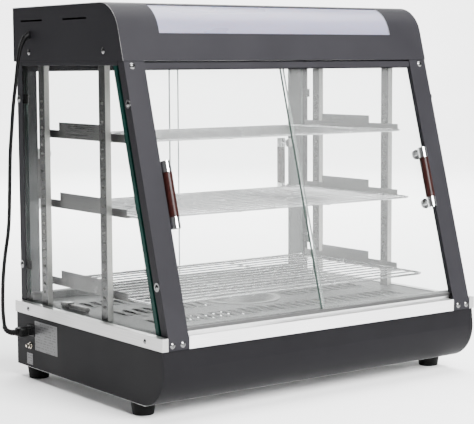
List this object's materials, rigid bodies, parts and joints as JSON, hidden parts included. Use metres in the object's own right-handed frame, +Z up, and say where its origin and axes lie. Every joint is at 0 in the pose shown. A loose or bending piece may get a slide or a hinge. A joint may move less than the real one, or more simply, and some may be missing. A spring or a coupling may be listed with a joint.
{
  "type": "hot food display case",
  "caption": "Countertop hot food display case with a leaning glass front, sliding front and rear doors, wire racks and a rounded lamp canopy.",
  "frame": {"origin": "on the surface under the feet, in the middle of the case's footprint", "axes": "+X to the customer's right along the case's width, -Y to the customer, +Z up"},
  "size_m": [0.7174, 0.4868, 0.6459],
  "materials": {
    "case_paint": "fine powder coat, satin",
    "trim_steel": "brushed along its length",
    "floor_steel": "brushed",
    "galvanised": "zinc coated sheet, dull",
    "track_metal": "dark anodised",
    "pane_glass": "clear float glass with green edges",
    "shelf_steel": "brushed",
    "rack_chrome": "bright plated wire",
    "handle_wood": "varnished dark red wood",
    "handle_chrome": "polished",
    "window_plastic": "translucent, satin",
    "tube_glass": "frosted white",
    "black_plastic": "fine moulded grain",
    "rocker_red": "moulded",
    "rocker_green": "moulded",
    "element_steel": "heat stained",
    "bulb_copper": "dull copper",
    "foot_rubber": "matte",
    "lead_rubber": "smooth, semi matte",
    "terminal_brass": "bright",
    "label_foil": "printed foil",
    "screw_steel": "zinc plated"
  },
  "bodies": {
    "case": {"base_front_panel": "case_paint", "base_side_left": "case_paint", "base_side_right": "case_paint", "base_rear_panel": "case_paint", "front_post_left": "case_paint", "front_post_right": "case_paint", "rear_post_left": "case_paint", "rear_post_right": "case_paint", "front_header": "case_paint", "rear_header": "case_paint", "side_headers": "case_paint", "canopy_cover": "case_paint", "canopy_end_left": "case_paint", "canopy_end_right": "case_paint", "trim_surround": "trim_steel", "trim_front": "trim_steel", "floor_plate": "floor_steel", "base_pan": "galvanised", "ceiling_plate": "galvanised", "front_track": "track_metal", "rear_track": "track_metal", "side_glass_left": "pane_glass", "side_glass_right": "pane_glass", "shelf_uprights": "shelf_steel", "shelf_brackets": "shelf_steel", "lamp_window": "window_plastic", "lamp_tube": "tube_glass", "lamp_holders": "black_plastic", "thermostat_body": "black_plastic", "control_fascia": "black_plastic", "appliance_inlet": "black_plastic", "cord_glands": "black_plastic", "heating_element": "element_steel", "thermostat_bulb": "bulb_copper", "feet": "foot_rubber", "lamp_lead": "lead_rubber", "lead_plug": "lead_rubber", "earth_terminal": "terminal_brass", "labels": "label_foil", "case_screws": "screw_steel", "glass_clips": "screw_steel"},
    "front_left_door": {"front_left_door_glass": "pane_glass", "front_left_handle_grip": "handle_wood", "front_left_handle_ends": "handle_chrome"},
    "front_right_door": {"front_right_door_glass": "pane_glass", "front_right_handle_grip": "handle_wood", "front_right_handle_ends": "handle_chrome"},
    "rear_left_door": {"rear_left_door_glass": "pane_glass", "rear_left_handle_grip": "handle_wood", "rear_left_handle_ends": "handle_chrome"},
    "rear_right_door": {"rear_right_door_glass": "pane_glass", "rear_right_handle_grip": "handle_wood", "rear_right_handle_ends": "handle_chrome"},
    "upper_rack": {"rack_upper": "rack_chrome"},
    "middle_rack": {"rack_middle": "rack_chrome"},
    "lower_rack": {"rack_lower": "rack_chrome"},
    "water_pan": {"water_pan": "floor_steel"},
    "knob": {"thermostat_knob": "black_plastic"},
    "heat_rocker": {"heat_switch_rocker": "rocker_red"},
    "light_rocker": {"light_switch_rocker": "rocker_green"}
  },
  "joints": [
    {"name": "front_left_slide", "type": "slide", "parent": "case", "child": "front_left_door", "axis": [1, 0, 0], "range_m": [0, 0.25]},
    {"name": "front_right_slide", "type": "slide", "parent": "case", "child": "front_right_door", "axis": [1, 0, 0], "range_m": [-0.25, 0]},
    {"name": "rear_left_slide", "type": "slide", "parent": "case", "child": "rear_left_door", "axis": [1, 0, 0], "range_m": [0, 0.25]},
    {"name": "rear_right_slide", "type": "slide", "parent": "case", "child": "rear_right_door", "axis": [1, 0, 0], "range_m": [-0.25, 0]},
    {"name": "upper_rack_lift", "type": "slide", "parent": "case", "child": "upper_rack", "axis": [0, 0, 1], "range_m": [0, 0.06]},
    {"name": "middle_rack_lift", "type": "slide", "parent": "case", "child": "middle_rack", "axis": [0, 0, 1], "range_m": [0, 0.06]},
    {"name": "lower_rack_lift", "type": "slide", "parent": "case", "child": "lower_rack", "axis": [0, 0, 1], "range_m": [0, 0.06]},
    {"name": "water_pan_lift", "type": "slide", "parent": "case", "child": "water_pan", "axis": [0, 0, 1], "range_m": [0, 0.03]},
    {"name": "knob_turn", "type": "hinge", "parent": "case", "child": "knob", "pos_m": [-0.2, 0.2355, 0.068], "axis": [0, -1, 0], "range_deg": [0, 300]},
    {"name": "heat_rocker_tilt", "type": "hinge", "parent": "case", "child": "heat_rocker", "pos_m": [-0.158, 0.2315, 0.068], "axis": [-1, 0, 0], "range_deg": [0, 20]},
    {"name": "light_rocker_tilt", "type": "hinge", "parent": "case", "child": "light_rocker", "pos_m": [-0.128, 0.2315, 0.068], "axis": [-1, 0, 0], "range_deg": [0, 20]}
  ]
}
